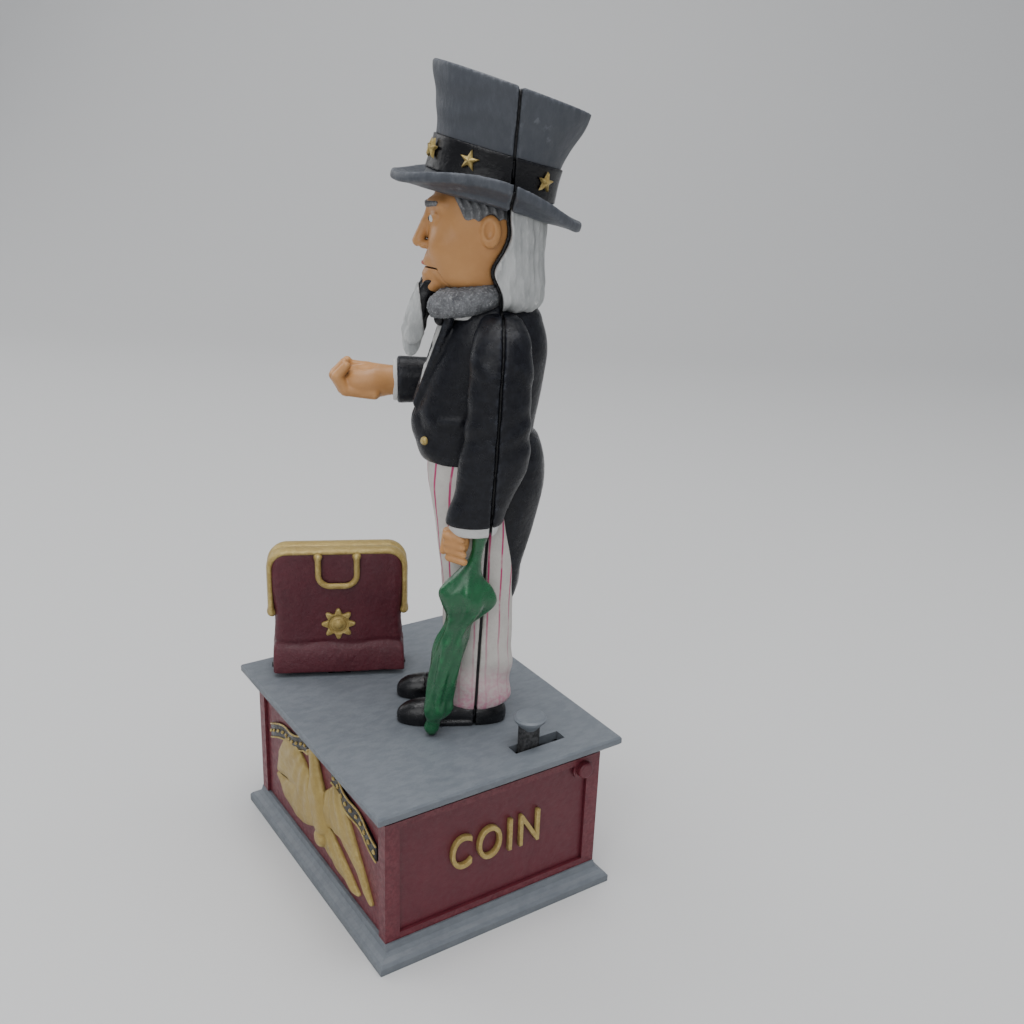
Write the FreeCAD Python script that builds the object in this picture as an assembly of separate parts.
"""Cast-iron mechanical bank: a figure in a top hat drops a coin into a travelling bag.

Millimetres, +Z up. The origin is the middle of the base's underside. The emblem side of the
box faces -Y and the lettered side faces +X. The figure and the bag stand turned on the plate,
so each has a frame of its own: see from_figure and from_bag.
"""
import FreeCAD
import Part
import math
import os

V = FreeCAD.Vector
UP = V(0, 0, 1)

# Box
FLANGE_X, FLANGE_Y, FLANGE_H = 116.3, 95.2, 8.2
BOX_X, BOX_Y = 106.8, 87.0
PLATE_X, PLATE_Y = 117.4, 97.2
PLATE_BOTTOM, PLATE_TOP = 55.0, 62.5
WALL = 3.5
FLOOR_T = 3.0
PILASTER_W, PILASTER_PROUD = 5.5, 1.2
TIE_X, TIE_Y, TIE_R = 40.0, 27.5, 1.9

# Coin trap
TRAP_HOLE_R, TRAP_R, TRAP_T = 15.0, 18.0, 1.6
TRAP_X, RIVET_X, RIVET_R = -14.0, 9.0, 1.8

# Lever, its cross rod and its spring
ROD_Y, ROD_Z, ROD_R, HUB_R = 36.1, 50.4, 1.6, 2.6
KNOB_X, KNOB_Y, KNOB_TOP, KNOB_R = 46.4, 16.6, 74.2, 5.8
SLOT_W, SLOT_Y0, SLOT_Y1 = 5.0, 9.6, 30.5
SPRING_X, SPRING_Y, SPRING_R, SPRING_WIRE = 30.0, 6.0, 3.6, 0.9
SPRING_BASE, SPRING_TOP = 26.0, 43.6
RUN = 0.05

# Figure
FIGURE_X, FIGURE_Y, FIGURE_TURN = 9.2, 6.0, -28.0
SEAM_AT_PLATE, SEAM_SLOPE = 8.5, 0.036
ARM_ROD_X, ARM_ROD_Y, ARM_ROD_R = -8.0, 3.0, 1.5
SHOULDER_Y, SHOULDER_Z = 14.0, 138.0
PIN_R = 1.5
JAW_Y, JAW_Z, JAW_HALF, JAW_PIN_HALF = 6.0, 160.0, 7.0, 9.3
LINK_Z = 167.0
ROD_FOOT_Z = 46.2
HAT_TILT = 14.0
HAT_Y, HAT_Z = 9.5, 183.0

# Bag
BAG_X, BAG_Y, BAG_TURN = -33.2, -18.3, -25.5
BAG_L, BAG_T = 52.5, 14.0
BAG_PIN_Y, BAG_PIN_Z, BAG_PIN_R = -2.6, 3.5, 1.0
BAG_WALL = 2.4
COIN_X0, COIN_X1, COIN_Y0, COIN_Y1 = -15.0, 9.5, -12.4, -8.8


def box(x0, x1, y0, y1, z0, z1):
    return Part.makeBox(x1 - x0, y1 - y0, z1 - z0, V(x0, y0, z0))


def rod_x(x0, x1, y, z, r):
    return Part.makeCylinder(r, x1 - x0, V(x0, y, z), V(1, 0, 0))


def rod_z(x, y, z0, z1, r):
    return Part.makeCylinder(r, z1 - z0, V(x, y, z0), UP)


def cone_z(x, y, z0, z1, r0, r1):
    return Part.makeCone(r0, r1, z1 - z0, V(x, y, z0), UP)


def ellipse(cx, cy, z, rx, ry):
    """An upright ellipse wire that starts on the same side whichever axis is longer."""
    unit = Part.Wire(Part.makeCircle(1.0, V(0, 0, 0), UP))
    grow = FreeCAD.Matrix()
    grow.scale(rx, ry, 1.0)
    wire = unit.transformGeometry(grow)
    wire.translate(V(cx, cy, z))
    return wire


def loft(sections, ruled=False):
    """A solid through ellipses given as (cx, cy, z, rx, ry)."""
    return Part.makeLoft([ellipse(*s) for s in sections], True, ruled)


def ellipsoid(cx, cy, cz, rx, ry, rz):
    grow = FreeCAD.Matrix()
    grow.scale(rx, ry, rz)
    ball = Part.makeSphere(1.0).transformGeometry(grow)
    ball.translate(V(cx, cy, cz))
    return ball


def from_figure(shape):
    """Put a shape from the figure's frame (+X its left, -Y ahead, z above the plate) in place."""
    shape.rotate(V(0, 0, 0), UP, FIGURE_TURN)
    shape.translate(V(FIGURE_X, FIGURE_Y, PLATE_TOP))
    return shape


def from_bag(shape):
    """Put a shape from the bag's frame (x along it, +Y near face, z above the plate) in place."""
    shape.rotate(V(0, 0, 0), UP, BAG_TURN - 90)
    shape.translate(V(BAG_X, BAG_Y, PLATE_TOP))
    return shape


def moulded_slab(size_x, size_y, steps):
    """A slab whose edge profile is given as (inset, z) pairs from the bottom up."""
    wires = []
    for inset, z in steps:
        hx, hy = size_x / 2 - inset, size_y / 2 - inset
        wires.append(Part.makePolygon([V(-hx, -hy, z), V(hx, -hy, z), V(hx, hy, z),
                                       V(-hx, hy, z), V(-hx, -hy, z)]))
    return Part.makeLoft(wires, True, True)


def tie_points():
    return [(sx * TIE_X, sy * TIE_Y) for sx in (-1, 1) for sy in (-1, 1)]


def base_flange():
    foot = moulded_slab(FLANGE_X, FLANGE_Y, [(0.0, 0.0), (0.0, 2.6), (0.9, 3.8), (2.4, 4.6),
                                             (3.6, 5.8), (4.1, FLANGE_H)])
    skirt = 5.5
    foot = foot.cut(box(-FLANGE_X / 2 + skirt, FLANGE_X / 2 - skirt,
                        -FLANGE_Y / 2 + skirt, FLANGE_Y / 2 - skirt, -1, FLANGE_H - FLOOR_T))
    foot = foot.cut(rod_z(TRAP_X, 0, 0, 20, TRAP_HOLE_R))
    foot = foot.cut(rod_z(RIVET_X, 0, 0, 20, RIVET_R))
    foot = foot.cut(rod_z(SPRING_X, SPRING_Y, 0, 20, 1.5))
    for x, y in tie_points():
        foot = foot.cut(rod_z(x, y, 0, 20, TIE_R))
    return foot


def panel_x(side):
    """A side panel (side is -1 or 1): a field between two pilasters, top and bottom rails."""
    face = side * BOX_X / 2
    back = face - side * (WALL + PILASTER_PROUD)
    field = face - side * PILASTER_PROUD
    half = BOX_Y / 2
    panel = box(min(back, field), max(back, field), -half, half, FLANGE_H, PLATE_BOTTOM)
    low, high = min(field, face), max(field, face)
    rail = 2.6
    for y0, y1, z0, z1 in ((-half, -half + PILASTER_W, FLANGE_H, PLATE_BOTTOM),
                           (half - PILASTER_W, half, FLANGE_H, PLATE_BOTTOM),
                           (-half, half, FLANGE_H, FLANGE_H + rail),
                           (-half, half, PLATE_BOTTOM - rail, PLATE_BOTTOM)):
        panel = panel.fuse(box(low, high, y0, y1, z0, z1))
    boss = rod_x(low, high, ROD_Y, ROD_Z, 4.2)
    panel = panel.fuse(boss).removeSplitter()
    return panel.cut(rod_x(-80, 80, ROD_Y, ROD_Z, ROD_R))


def panel_y(side):
    """The emblem panel (side -1) or the rear panel (side 1), between the side panels."""
    half = BOX_X / 2 - WALL - PILASTER_PROUD
    face = side * (BOX_Y / 2 - PILASTER_PROUD)
    back = face - side * WALL
    return box(-half, half, min(face, back), max(face, back), FLANGE_H, PLATE_BOTTOM)


def top_plate():
    profile = [(6.6, PLATE_BOTTOM), (5.8, PLATE_BOTTOM + 1.0), (3.6, PLATE_BOTTOM + 2.0),
               (2.2, PLATE_BOTTOM + 3.4), (0.6, PLATE_BOTTOM + 4.2), (0.0, PLATE_BOTTOM + 4.9),
               (0.0, PLATE_TOP - 0.7), (0.5, PLATE_TOP)]
    plate = moulded_slab(PLATE_X, PLATE_Y, profile)
    wall_in = WALL + PILASTER_PROUD
    hollow = box(-BOX_X / 2 + wall_in, BOX_X / 2 - wall_in, -BOX_Y / 2 + wall_in,
                 BOX_Y / 2 - wall_in, PLATE_BOTTOM - 1, PLATE_TOP - 3.2)
    for x, y in tie_points():
        hollow = hollow.cut(rod_z(x, y, 0, 80, 4.0))
    plate = plate.cut(hollow)
    for x, y in tie_points():
        plate = plate.cut(rod_z(x, y, 0, PLATE_TOP - 2.5, TIE_R))
    plate = plate.cut(box(KNOB_X - SLOT_W / 2, KNOB_X + SLOT_W / 2, SLOT_Y0, SLOT_Y1, 50, 70))
    notch = rod_x(BOX_X / 2, 80, ROD_Y - 1.0, ROD_Z + 2.6, 6.2)
    plate = plate.cut(notch)
    plate = plate.cut(rod_x(40, 80, ROD_Y, ROD_Z, 3.4))
    plate = plate.cut(from_figure(rod_z(ARM_ROD_X, ARM_ROD_Y, -20, 5, 2.4)))
    for x, y in figure_screw_points():
        plate = plate.cut(from_figure(rod_z(x, y, -20, 5, 1.6)))
    for x, y in bag_screw_points():
        plate = plate.cut(from_bag(rod_z(x, y, -20, 5, 1.3)))
    tail_slot = box(-4.4, 4.4, BAG_PIN_Y - 5.4, BAG_PIN_Y + 2.2, -20, 5)
    return plate.cut(from_bag(tail_slot)).cut(from_bag(coin_slot()))


def corner_tie_screws():
    screws = []
    for x, y in tie_points():
        shank = rod_z(x, y, FLANGE_H - FLOOR_T, PLATE_TOP - 2.5, TIE_R)
        head = cone_z(x, y, FLANGE_H - FLOOR_T - 2.2, FLANGE_H - FLOOR_T, 2.8, 3.6)
        slot = box(x - 4, x + 4, y - 0.5, y + 0.5, 0, FLANGE_H - FLOOR_T - 1.2)
        screws.append(shank.fuse(head).cut(slot))
    return Part.makeCompound(screws)


def pivot_rod():
    head = rod_x(BOX_X / 2, BOX_X / 2 + 2.4, ROD_Y, ROD_Z, 3.1)
    head = head.makeFillet(0.9, [e for e in head.Edges if abs(e.BoundBox.XMin - BOX_X / 2 - 2.4) < 0.01
                                 and e.BoundBox.XLength < 0.01])
    tail = rod_x(-BOX_X / 2 - 1.2, -BOX_X / 2, ROD_Y, ROD_Z, 2.6)
    return rod_x(-BOX_X / 2, BOX_X / 2, ROD_Y, ROD_Z, ROD_R).fuse([head, tail])


def arm_rod_place():
    """The arm rod's axis on the plate, in the bank's frame."""
    turn = math.radians(FIGURE_TURN)
    return (FIGURE_X + ARM_ROD_X * math.cos(turn) - ARM_ROD_Y * math.sin(turn),
            FIGURE_Y + ARM_ROD_X * math.sin(turn) + ARM_ROD_Y * math.cos(turn))


def operating_lever():
    """A hub on the cross rod, with arms for the knob, the figure's rod, the spring and the bag."""
    hub = rod_x(-31.6, 48.3, ROD_Y, ROD_Z, HUB_R)
    thick = 1.7
    knob_arm = box(KNOB_X - thick, KNOB_X + thick, KNOB_Y - 3.6, ROD_Y, ROD_Z - 3.4, ROD_Z + 2.6)
    stalk = box(KNOB_X - thick, KNOB_X + thick, KNOB_Y - 3.6, KNOB_Y + 3.2, ROD_Z, KNOB_TOP - 2.4)
    rx, ry = arm_rod_place()
    fork_z = ROD_Z - 1.0
    rod_arm = box(rx - 5.5, rx + 5.5, ry - 4.5, ROD_Y, fork_z - 2.0, fork_z + 2.0)
    spring_arm = box(SPRING_X - 4.5, SPRING_X + 4.5, SPRING_Y - 4.5, ROD_Y, SPRING_TOP + 0.4,
                     SPRING_TOP + 4.4)
    bag_arm = box(-31.6, -28.2, -21.5, ROD_Y, ROD_Z - 2.0, ROD_Z + 1.0)
    lever = hub.fuse([knob_arm, stalk, rod_arm, spring_arm, bag_arm]).removeSplitter()
    lever = lever.cut(rod_x(-80, 80, ROD_Y, ROD_Z, ROD_R + RUN))
    return lever.cut(box(rx - 2.3, rx + 2.3, ry - 10, ry + 3.2, 0, 80))


def lever_knob():
    top = KNOB_TOP
    disc = cone_z(KNOB_X, KNOB_Y, top - 1.5, top - 0.6, KNOB_R - 0.3, KNOB_R)
    crown = cone_z(KNOB_X, KNOB_Y, top - 0.6, top, KNOB_R, KNOB_R - 0.8)
    neck = cone_z(KNOB_X, KNOB_Y, top - 5.0, top - 1.5, 2.6, KNOB_R - 0.3)
    stalk = box(KNOB_X - 1.7, KNOB_X + 1.7, KNOB_Y - 3.6, KNOB_Y + 3.2, ROD_Z, top - 2.4)
    return disc.fuse([crown, neck]).removeSplitter().cut(stalk)


def lever_return_spring():
    turns = 6.5
    pitch = (SPRING_TOP - SPRING_BASE - SPRING_WIRE) / turns
    helix = Part.makeHelix(pitch, pitch * turns, SPRING_R)
    section = Part.Wire(Part.makeCircle(SPRING_WIRE / 2, V(SPRING_R, 0, 0), V(0, 1, 0)))
    coil = Part.Wire(helix.Edges).makePipeShell([section], True, True)
    coil.translate(V(SPRING_X, SPRING_Y, SPRING_BASE + SPRING_WIRE / 2))
    return coil


def spring_post():
    post = rod_z(SPRING_X, SPRING_Y, FLANGE_H, SPRING_BASE, 5.0)
    pilot = rod_z(SPRING_X, SPRING_Y, SPRING_BASE, SPRING_BASE + 5.0, 2.4)
    return post.fuse([pilot, rod_z(SPRING_X, SPRING_Y, FLANGE_H - FLOOR_T, FLANGE_H, 1.5)])


def trap_cover():
    z1 = FLANGE_H - FLOOR_T - 0.3
    disc = rod_z(TRAP_X, 0, z1 - TRAP_T, z1, TRAP_R)
    tab = box(TRAP_X, RIVET_X, -5, 5, z1 - TRAP_T, z1).fuse(rod_z(RIVET_X, 0, z1 - TRAP_T, z1, 5))
    return disc.fuse(tab).removeSplitter().cut(rod_z(RIVET_X, 0, 0, 20, RIVET_R + RUN))


def trap_rivet():
    z1 = FLANGE_H - FLOOR_T - 0.3
    shank = rod_z(RIVET_X, 0, z1 - TRAP_T - 0.3, FLANGE_H, RIVET_R)
    foot = rod_z(RIVET_X, 0, z1 - TRAP_T - 1.4, z1 - TRAP_T - 0.3, 3.4)
    return shank.fuse([foot, rod_z(RIVET_X, 0, FLANGE_H, FLANGE_H + 1.4, 3.4)])


# ---- figure ----

def shoe(x):
    sole = loft([(x, 0.6, 0, 5.2, 19.6), (x, 0.6, 5.0, 5.4, 19.8), (x, 3.5, 8.4, 4.8, 16.0)])
    return sole


def leg(x):
    return loft([(x, 9.5, 5, 7.8, 11.6), (x, 9.6, 30, 7.8, 11.2), (x, 9.0, 70, 8.2, 12.0),
                 (x * 0.8, 7.0, 104, 8.6, 15.0)])


def coat():
    body = loft([(0, 8.0, 97, 14.6, 19.6), (0, 8.0, 106, 14.8, 20.6), (0, 10.6, 122, 14.6, 19.6),
                 (0, 12.6, 138, 14.6, 17.6), (0, 12.4, 147, 11.0, 14.0), (0, 12.0, 151, 7.5, 10.0)])
    tails = loft([(0, 19.8, 44, 9.0, 4.4), (0, 20.8, 70, 12.0, 8.0), (0, 20.4, 92, 13.6, 10.8),
                  (0, 18.0, 108, 13.4, 12.6)])
    return body.fuse(tails)


def left_arm():
    upper = loft([(20.5, 10.5, 84, 5.8, 8.2), (20.8, 13.2, 104, 6.4, 10.4), (20.6, 13.4, 126, 6.4, 10.4),
                  (18.0, 13.2, 140, 6.0, 9.4), (13.5, 13.0, 146, 5.0, 7.6)])
    cuff = loft([(19.8, 6.6, 78.2, 5.2, 8.2), (20.4, 7.6, 84.5, 6.0, 8.8)])
    hand = ellipsoid(18.6, 1.4, 72.5, 4.2, 5.4, 7.4)
    return upper.fuse([cuff, hand])


def head():
    face = ellipsoid(0, 5.0, 171, 13.0, 16.5, 19.0)
    hair = loft([(0, 17.0, 150, 11.0, 10.4), (0, 16.0, 162, 14.4, 12.6), (0, 15.0, 178, 14.8, 13.6)])
    neck = rod_z(0, 8.5, 144, 160, 9.0)
    collar = loft([(0, 5.6, 146, 10.0, 12.0), (0, 5.0, 152, 11.4, 13.6), (0, 6.0, 156, 10.4, 12.2)])
    return face.fuse([hair, neck, collar])


def hat():
    brim = loft([(0, 0, -2.2, 25.0, 30.6), (0, 0, 1.8, 25.6, 31.2)])
    crown = loft([(0, 0.6, 1.0, 17.8, 20.4), (0, 0.8, 14, 17.6, 20.6), (0, 1.6, 29.5, 20.6, 25.0)])
    top_hat = brim.fuse(crown)
    top_hat.rotate(V(0, 0, 0), V(1, 0, 0), -HAT_TILT)
    top_hat.translate(V(0, HAT_Y, HAT_Z))
    return top_hat


def cavity():
    """The hollow between the two shells: the arm rod's well, the chest and the throat."""
    well = rod_z(ARM_ROD_X, ARM_ROD_Y, -1, 130, 2.4)
    chest = box(-11.0, 4.0, -2.5, 22.0, 122, 143)
    throat = box(-9.6, 6.0, -4.0, 19.0, 142, 169.2)
    return well.fuse([chest, throat])


def jaw_room():
    side = JAW_HALF + 0.5
    return box(-side, side, -40, 9.4, 149.0, 161.9).fuse(box(-side, side, -40, -6.4, 120, 150))


def figure_screw_points():
    return [(8.0, 4.0), (-8.0, 15.0)]


def figure():
    whole = coat()
    for piece in (head(), hat(), leg(7.4), leg(-7.4), shoe(9.4), shoe(-9.4), left_arm()):
        whole = whole.fuse(piece)
    whole = whole.cut(cavity()).cut(jaw_room())
    whole = whole.cut(rod_x(-30, 8, SHOULDER_Y, SHOULDER_Z, PIN_R))
    whole = whole.cut(rod_x(-16.5, -9, SHOULDER_Y, SHOULDER_Z, 3.6))
    whole = whole.cut(rod_x(-JAW_PIN_HALF, JAW_PIN_HALF, JAW_Y, JAW_Z, 1.0))
    for x, y in figure_screw_points():
        whole = whole.cut(rod_z(x, y, -1, 14, 1.6))
    whole = whole.cut(Part.makeCylinder(1.5, 80, V(0, -20, 110), V(0, 1, 0)))
    return whole.cut(umbrella_grip())


def seam_side(ahead):
    """A half space ahead of (or behind) the slightly sloping parting plane."""
    reach = 120.0
    y_low = SEAM_AT_PLATE - 10 * SEAM_SLOPE
    y_high = SEAM_AT_PLATE + 260 * SEAM_SLOPE
    far = -reach if ahead else reach
    profile = Part.makePolygon([V(-60, y_low, -10), V(-60, y_high, 260), V(-60, far, 260),
                                V(-60, far, -10), V(-60, y_low, -10)])
    return Part.Face(profile).extrude(V(120, 0, 0))


def umbrella_grip():
    return rod_between((20.0, 7.4, 84.0), (20.2, 4.0, 60.0), 2.0)


def rod_between(start, end, r):
    start, end = V(*start), V(*end)
    return Part.makeCylinder(r, (end - start).Length, start, end - start)


def umbrella_shape():
    """The closed umbrella, leaning ahead from the hand down to the plate."""
    canopy = loft([(20.0, -8.6, 0.6, 1.2, 1.2), (20.0, -6.4, 7.0, 3.4, 3.6), (20.0, -3.0, 24, 4.2, 5.0),
                   (20.0, 1.2, 42, 4.6, 5.2), (21.2, 4.4, 52, 5.2, 8.0), (20.8, 5.0, 58, 4.6, 6.4),
                   (20.2, 4.6, 64.0, 2.6, 2.8)])
    return canopy.fuse(umbrella_grip())


def clean(shape):
    """The one big solid of a shape, without the crumbs a cut may leave."""
    solids = sorted(shape.Solids, key=lambda s: s.Volume, reverse=True)
    kept = [s for s in solids if s.Volume > 0.02 * solids[0].Volume]
    return kept[0] if len(kept) == 1 else Part.makeCompound(kept)


def shoulder_pin():
    head_x = -29.0
    pin = rod_x(head_x, 8, SHOULDER_Y, SHOULDER_Z, PIN_R)
    return from_figure(pin.fuse(rod_x(head_x - 1.4, head_x, SHOULDER_Y, SHOULDER_Z, 2.6)))


def right_arm():
    """The moving arm with its dished hand, and the crank inside the chest."""
    sleeve = loft([(-22.0, 13.6, 110, 5.2, 7.6), (-22.2, 13.8, 118, 6.2, 9.0),
                   (-22.0, 14.0, 138, 6.0, 8.4), (-21.0, 14.0, 146, 4.6, 5.4)])
    forearm = Part.makeCylinder(6.0, 32.0, V(-22.0, 12.0, 118), V(0, -1, 0))
    wrist = Part.makeCylinder(4.4, 10.0, V(-21.4, -18.0, 118), V(0, -1, 0))
    palm = box(-26.4, -15.2, -43.0, -23.0, 113.8, 121.4)
    palm = palm.makeFillet(3.0, palm.Edges)
    arm = sleeve.fuse(forearm).fuse(wrist).fuse(palm)
    arm = arm.cut(Part.makeCylinder(6.0, 17.0, V(-20.8, -40.0, 125.4), V(0, 1, 0)))
    boss = rod_x(-17.0, -10.8, SHOULDER_Y, SHOULDER_Z, 3.2)
    crank = box(-10.8, -9.0, ARM_ROD_Y - 2.0, SHOULDER_Y + 3.2, SHOULDER_Z - 3.0, SHOULDER_Z + 3.0)
    arm = arm.fuse(boss).fuse(crank).cut(peg_rod())
    return from_figure(arm.cut(rod_x(-40, 0, SHOULDER_Y, SHOULDER_Z, PIN_R + RUN)))


def peg_rod():
    return rod_x(ARM_ROD_X - 2.8, ARM_ROD_X + 1.1, ARM_ROD_Y, SHOULDER_Z, 0.8)


def crank_peg():
    return from_figure(peg_rod())


def arm_rod():
    """The long rod that pulls the crank down: a foot under the lever and a slotted eye on top."""
    lower = ROD_FOOT_Z - PLATE_TOP
    rod = rod_z(ARM_ROD_X, ARM_ROD_Y, lower, SHOULDER_Z - 6.0, ARM_ROD_R)
    foot = rod_z(ARM_ROD_X, ARM_ROD_Y, lower - 1.6, lower, 3.4)
    eye = box(ARM_ROD_X - 0.6, ARM_ROD_X + 1.5, ARM_ROD_Y - 2.4, ARM_ROD_Y + 4.4,
              SHOULDER_Z - 6.0, SHOULDER_Z + 2.6)
    slot = box(ARM_ROD_X - 2, ARM_ROD_X + 3, ARM_ROD_Y - 1.3, ARM_ROD_Y + 2.9,
               SHOULDER_Z - 1.3, SHOULDER_Z + 1.3)
    return from_figure(rod.fuse([foot, eye]).removeSplitter().cut(slot))


def jaw_link():
    """A flat hook on the arm rod whose finger presses the jaw open."""
    x0, x1 = ARM_ROD_X + 1.5, ARM_ROD_X + 3.0
    stem = box(x0, x1, ARM_ROD_Y - 2.4, 12.0, SHOULDER_Z - 6.0, SHOULDER_Z - 2.6)
    rise = box(x0, x1, 9.6, 12.0, SHOULDER_Z - 6.0, LINK_Z + 1.4)
    across = box(x0, 1.2, 9.6, 12.0, LINK_Z, LINK_Z + 1.4)
    finger = box(-1.2, 1.2, -1.5, 12.0, LINK_Z, LINK_Z + 1.4)
    prong = box(-1.2, 1.2, -1.5, 0.5, LINK_Z - 1.9, LINK_Z)
    return from_figure(stem.fuse([rise, across, finger, prong]).removeSplitter())


def jaw():
    """The chin with its beard, on a cross pin in the head."""
    chin = box(-JAW_HALF, JAW_HALF, -10.6, JAW_Y, 152.6, 160.4)
    chin = chin.common(ellipsoid(0, 5.0, 168, 12.6, 17.0, 17.6))
    chin = chin.cut(box(-JAW_HALF + 1.8, JAW_HALF - 1.8, -3.0, JAW_Y - 2.2, 156, 159))
    lug = rod_x(-JAW_HALF, JAW_HALF, JAW_Y, JAW_Z - 1.0, 2.4)
    beard = loft([(0, -15.0, 134, 1.6, 1.8), (0, -13.2, 144, 4.2, 2.4), (0, -10.6, 153, 5.4, 2.4),
                  (0, -8.0, 157, 5.8, 2.0)])
    shape = chin.fuse(lug).fuse(beard)
    return from_figure(shape.cut(rod_x(-20, 20, JAW_Y, JAW_Z, 1.0 + RUN)))


def jaw_pin():
    return from_figure(rod_x(-JAW_PIN_HALF, JAW_PIN_HALF, JAW_Y, JAW_Z, 1.0))


def figure_mount_screws():
    screws = []
    for x, y in figure_screw_points():
        shank = rod_z(x, y, -3.2, 14, 1.6)
        screws.append(shank.fuse(rod_z(x, y, -5.2, -3.2, 3.0)))
    return from_figure(Part.makeCompound(screws))


def shell_screw():
    """Clamps the two shells through the waist."""
    shank = Part.makeCylinder(1.5, 37.5, V(0, -12.4, 110), V(0, 1, 0))
    head = Part.makeCylinder(2.4, 1.4, V(0, -13.8, 110), V(0, 1, 0))
    return from_figure(shank.fuse(head))


# ---- bag ----

def bag_screw_points():
    return [(-21.0, -9.2), (12.6, -9.2)]


def coin_slot():
    return box(COIN_X0, COIN_X1, COIN_Y0, COIN_Y1, -20, 5)


def bag_block(grow=0.0):
    """The bag's outer form: flared foot, slack waist, round shoulders."""
    half, thick = BAG_L / 2, BAG_T / 2
    rows = [(0.4, 0.0, 0.0), (0.6, 0.2, 4.0), (-0.6, -0.4, 12.0), (-2.0, -1.2, 22.0),
            (-1.0, -0.8, 38.0), (-1.6, -1.2, 46.0), (-3.4, -2.2, 50.4), (-7.0, -3.6, 52.4)]
    wires = []
    for dx, dy, z in rows:
        hx, hy = half + dx + grow, thick + dy + grow
        wires.append(Part.makePolygon([V(-hx, -hy, z), V(hx, -hy, z), V(hx, hy, z), V(-hx, hy, z),
                                       V(-hx, -hy, z)]))
    block = Part.makeLoft(wires, True, True)
    block.translate(V(0, -thick, 0))
    return block


def bag_hollow():
    inner = bag_block(-BAG_WALL)
    inner.translate(V(0, 0, 2.6))
    mouth = box(-16, 16, -BAG_T / 2 - 3.2, -BAG_T / 2 + 3.2, 40, 60)
    return inner.fuse(mouth)


def bag_fixed_half():
    half = bag_block().cut(bag_hollow())
    half = half.common(box(-40, 40, -30, -BAG_T / 2 - 0.3, -1, 60))
    for x, y in bag_screw_points():
        boss = rod_z(x, y, 0, 7.0, 2.8).common(bag_block()).common(
            box(-40, 40, -30, -BAG_T / 2 - 0.3, -1, 60))
        half = half.fuse(boss).cut(rod_z(x, y, -1, 7.0, 1.3))
    half = half.cut(coin_slot())
    for x in (-24.0, 24.0):
        half = half.fuse(box(x - 1.6, x + 1.6, -BAG_T / 2 - 1.5, BAG_PIN_Y + 1.4, 1.4, 5.4))
    half = half.removeSplitter()
    return from_bag(half.cut(rod_x(-40, 40, BAG_PIN_Y, BAG_PIN_Z, BAG_PIN_R)))


def bag_front_half():
    """The near half of the bag, which tips open on the cross pin at its foot."""
    half = bag_block().cut(bag_hollow())
    half = half.common(box(-40, 40, -BAG_T / 2 + 0.3, 10, 6.2, 60))
    skirt = bag_block().common(box(-40, 40, BAG_PIN_Y - 1.6, 10, 1.6, 6.2))
    half = half.fuse(skirt)
    for x in (-24.0, 24.0):
        half = half.cut(box(x - 2.0 if x > 0 else -40, 40 if x > 0 else x + 2.0,
                            BAG_PIN_Y - 6.0, BAG_PIN_Y + 2.0, 0, 7.6))
    half = half.fuse(bag_tail()).removeSplitter()
    return from_bag(half.cut(rod_x(-40, 40, BAG_PIN_Y, BAG_PIN_Z, BAG_PIN_R + RUN)))


def bag_tail():
    """The cam tail under the plate: the lever's bag arm slides down its sloping face."""
    back, front = BAG_PIN_Y - 1.5, BAG_PIN_Y + 1.5
    outline = [(back, 3.0), (front, 3.0), (front, -11.0), (front + 5.5, -25.0), (front, -25.0),
               (back, -12.0), (back, 3.0)]
    return Part.Face(Part.makePolygon([V(-2.5, y, z) for y, z in outline])).extrude(V(5, 0, 0))


def bag_hinge_pin():
    return from_bag(rod_x(-25.6, 25.6, BAG_PIN_Y, BAG_PIN_Z, BAG_PIN_R))


def bag_screws():
    screws = []
    for x, y in bag_screw_points():
        screws.append(rod_z(x, y, -3.2, 7.0, 1.3).fuse(rod_z(x, y, -5.0, -3.2, 1.8)))
    return from_bag(Part.makeCompound(screws))


NODES = {
    "base_flange": base_flange,
    "front_panel": lambda: panel_y(-1),
    "rear_panel": lambda: panel_y(1),
    "left_side_panel": lambda: panel_x(-1),
    "right_side_panel": lambda: panel_x(1),
    "top_plate": top_plate,
    "corner_tie_screws": corner_tie_screws,
    "pivot_rod": pivot_rod,
    "operating_lever": operating_lever,
    "lever_knob": lever_knob,
    "lever_return_spring": lever_return_spring,
    "spring_post": spring_post,
    "trap_cover": trap_cover,
    "trap_rivet": trap_rivet,
    "umbrella": lambda: from_figure(umbrella_shape()),
    "shoulder_pin": shoulder_pin,
    "right_arm": right_arm,
    "crank_peg": crank_peg,
    "arm_rod": arm_rod,
    "jaw_link": jaw_link,
    "jaw": jaw,
    "jaw_pin": jaw_pin,
    "figure_mount_screws": figure_mount_screws,
    "shell_screw": shell_screw,
    "bag_fixed_half": bag_fixed_half,
    "bag_front_half": bag_front_half,
    "bag_hinge_pin": bag_hinge_pin,
    "bag_screws": bag_screws,
}


def main():
    os.makedirs("parts", exist_ok=True)
    for name, make in NODES.items():
        shape = make()
        print(name, shape.isValid(), len(shape.Solids), round(shape.Volume))
        shape.exportStep("parts/%s.step" % name)
    whole = figure()
    for name, ahead in (("figure_front_shell", True), ("figure_rear_shell", False)):
        shell = from_figure(clean(whole.common(seam_side(ahead))))
        print(name, shell.isValid(), len(shell.Solids), round(shell.Volume))
        shell.exportStep("parts/%s.step" % name)


main()
